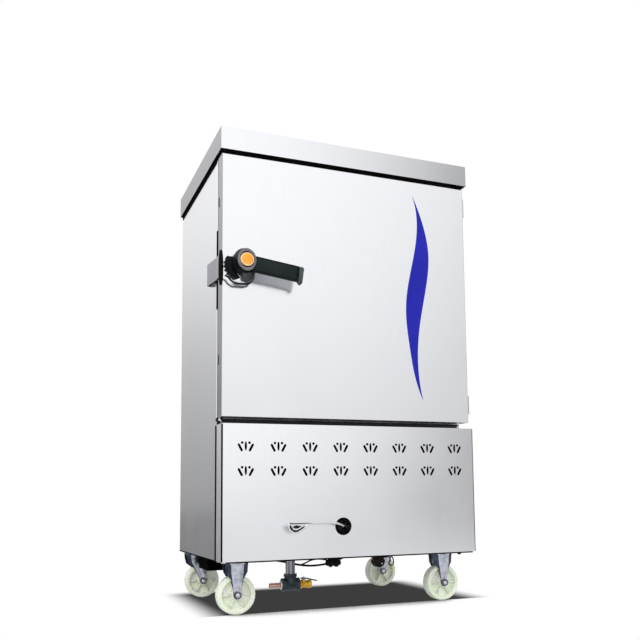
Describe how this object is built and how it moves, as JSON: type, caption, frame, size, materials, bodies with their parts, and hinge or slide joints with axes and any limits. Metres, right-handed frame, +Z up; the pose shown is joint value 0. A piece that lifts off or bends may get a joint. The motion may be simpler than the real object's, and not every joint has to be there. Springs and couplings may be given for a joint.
{
  "type": "rice steamer cabinet",
  "caption": "Upright stainless gas steamer cabinet on castors, with a latched door, tray racks inside, a vented lower panel, a gas lever and a drain below.",
  "frame": {"origin": "on the floor, under the middle of the whole cabinet's box", "axes": "+Z up, the door faces -Y, +X to the viewer's right"},
  "size_m": [0.7418, 0.629, 1.263],
  "materials": {
    "stainless_steel": "satin stainless sheet",
    "steel_frame": "folded stainless sheet",
    "tray_metal": "pressed aluminium tray",
    "black_rubber": "matt",
    "mineral_wool": "fibrous",
    "cast_iron": "rough cast",
    "brass": "machined",
    "pipe_steel": "dull pipe",
    "dark_casting": "dark coated casting",
    "black_plastic": "moulded",
    "lead_sleeve": "silicone sleeve",
    "malleable_iron": "galvanised",
    "copper": "copper coloured",
    "dark_lever": "dark coated",
    "castor_steel": "zinc grey",
    "zinc_steel": "zinc plated",
    "nylon": "pale green-white nylon",
    "blue_film": "film",
    "grey_plastic": "moulded",
    "orange_plastic": "moulded",
    "hook_steel": "polished",
    "lever_steel": "polished steel"
  },
  "bodies": {
    "cabinet": {"base_frame": "steel_frame", "left_side_panel": "stainless_steel", "right_side_panel": "stainless_steel", "rear_panel": "stainless_steel", "top_cover": "stainless_steel", "neck_seal": "black_rubber", "front_frame": "stainless_steel", "sill_strip": "black_rubber", "chamber_liner": "stainless_steel", "wall_insulation": "mineral_wool", "tray_racks": "stainless_steel", "rice_tray_1": "tray_metal", "rice_tray_2": "tray_metal", "rice_tray_3": "tray_metal", "rice_tray_4": "tray_metal", "water_tank": "stainless_steel", "burner": "cast_iron", "flue_outlet": "stainless_steel", "lower_front_panel": "stainless_steel", "gas_valve_body": "dark_casting", "gas_pipe": "pipe_steel", "gas_solenoid": "dark_casting", "igniter_box": "black_plastic", "igniter_lead": "lead_sleeve", "junction_block": "black_plastic", "lead_clips": "black_plastic", "drain_pipe": "pipe_steel", "drain_tee": "malleable_iron", "drain_nipple": "copper", "drain_valve_body": "brass", "front_castor_forks": "castor_steel", "rear_castor_plates": "castor_steel", "front_axle_bolts": "zinc_steel", "castor_bolts": "zinc_steel", "body_hinge_leaves": "castor_steel", "keeper_bracket": "castor_steel", "keeper_bar": "black_plastic", "case_screws": "zinc_steel"},
    "door": {"door_skin": "stainless_steel", "door_inner_panel": "stainless_steel", "door_insulation": "mineral_wool", "door_gasket": "black_rubber", "door_stripe": "blue_film", "door_hinge_leaves": "castor_steel", "door_edge_plugs": "black_plastic", "latch_base": "black_plastic"},
    "latch": {"latch_lever": "black_plastic", "latch_ring": "grey_plastic", "latch_cap": "orange_plastic", "latch_hook": "hook_steel"},
    "gas_lever": {"gas_lever": "lever_steel"},
    "drain_lever": {"drain_valve_lever": "dark_lever"},
    "left_rear_swivel": {"left_rear_castor_fork": "castor_steel", "left_rear_axle_bolt": "zinc_steel"},
    "right_rear_swivel": {"right_rear_castor_fork": "castor_steel", "right_rear_axle_bolt": "zinc_steel"},
    "left_front_wheel": {"left_front_wheel": "nylon"},
    "right_front_wheel": {"right_front_wheel": "nylon"},
    "left_rear_wheel": {"left_rear_wheel": "nylon"},
    "right_rear_wheel": {"right_rear_wheel": "nylon"}
  },
  "joints": [
    {"name": "door_hinge", "type": "hinge", "parent": "cabinet", "child": "door", "pos_m": [0.3658, -0.2415, 0.849], "axis": [0, 0, 1], "range_deg": [0, 135]},
    {"name": "latch_turn", "type": "hinge", "parent": "door", "child": "latch", "pos_m": [-0.3062, -0.2855, 0.899], "axis": [0, -1, 0], "range_deg": [0, 90]},
    {"name": "gas_lever_turn", "type": "hinge", "parent": "cabinet", "child": "gas_lever", "pos_m": [-0.0367, -0.2455, 0.22], "axis": [0, 1, 0], "range_deg": [0, 90]},
    {"name": "drain_lever_turn", "type": "hinge", "parent": "cabinet", "child": "drain_lever", "pos_m": [-0.0707, -0.0555, 0.072], "axis": [0, 0, 1], "range_deg": [0, 90]},
    {"name": "left_rear_swivel_turn", "type": "hinge", "parent": "cabinet", "child": "left_rear_swivel", "pos_m": [-0.3187, 0.2445, 0.125], "axis": [0, 0, 1], "continuous": true},
    {"name": "right_rear_swivel_turn", "type": "hinge", "parent": "cabinet", "child": "right_rear_swivel", "pos_m": [0.3213, 0.2445, 0.125], "axis": [0, 0, 1], "continuous": true},
    {"name": "left_front_wheel_roll", "type": "hinge", "parent": "cabinet", "child": "left_front_wheel", "pos_m": [-0.2997, -0.1715, 0.05], "axis": [0, 1, 0], "continuous": true},
    {"name": "right_front_wheel_roll", "type": "hinge", "parent": "cabinet", "child": "right_front_wheel", "pos_m": [0.3023, -0.1715, 0.05], "axis": [0, 1, 0], "continuous": true},
    {"name": "left_rear_wheel_roll", "type": "hinge", "parent": "left_rear_swivel", "child": "left_rear_wheel", "pos_m": [-0.2987, 0.2445, 0.05], "axis": [0, 1, 0], "continuous": true},
    {"name": "right_rear_wheel_roll", "type": "hinge", "parent": "right_rear_swivel", "child": "right_rear_wheel", "pos_m": [0.3013, 0.2445, 0.05], "axis": [0, 1, 0], "continuous": true}
  ]
}
